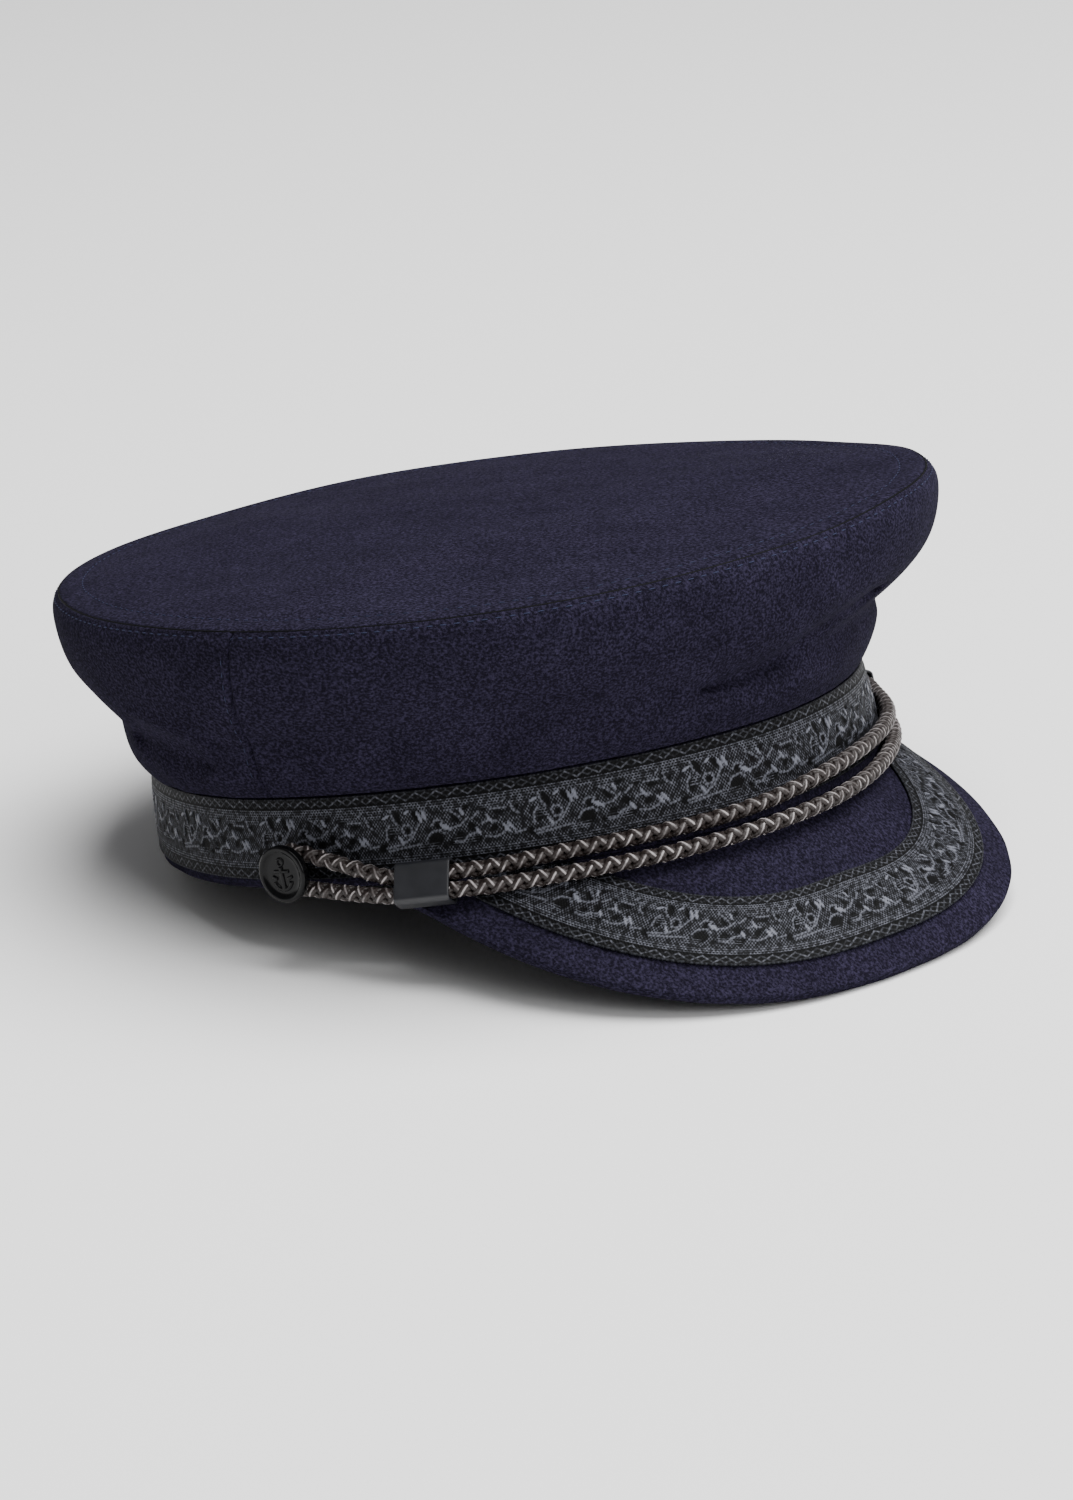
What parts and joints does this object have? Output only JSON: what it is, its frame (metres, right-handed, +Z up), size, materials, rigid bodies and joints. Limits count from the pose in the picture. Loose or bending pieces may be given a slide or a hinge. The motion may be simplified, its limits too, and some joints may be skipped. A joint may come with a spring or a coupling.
{
  "type": "breton fisherman cap",
  "caption": "Soft peaked sailor's cap with an overhanging oval crown, braid-trimmed band and peak, and a braided chin cord held by keepers and side buttons.",
  "frame": {"origin": "centre of the footprint at the lowest point, where the tip of the peak and the back of the rim touch the surface", "axes": "+Z up, the peak towards -Y, +X on the wearer's left; the rim slopes up towards the front by the angle at which the cap rests on its peak"},
  "size_m": [0.2048, 0.2698, 0.0995],
  "materials": {
    "melton_wool": "felted navy wool cloth",
    "woven_braid": "black figured braid with a satin thread",
    "braided_cord": "black braided cord with light flecks",
    "keeper_plastic": "satin black",
    "button_plastic": "glossy black"
  },
  "bodies": {
    "root": {"crown_top": "melton_wool", "crown_side_front": "melton_wool", "crown_side_back": "melton_wool", "head_band": "melton_wool", "band_braid": "woven_braid", "peak": "melton_wool", "peak_braid": "woven_braid", "chin_cord": "braided_cord", "keeper_right": "keeper_plastic", "button_right": "button_plastic", "keeper_left": "keeper_plastic", "button_left": "button_plastic"}
  },
  "joints": []
}
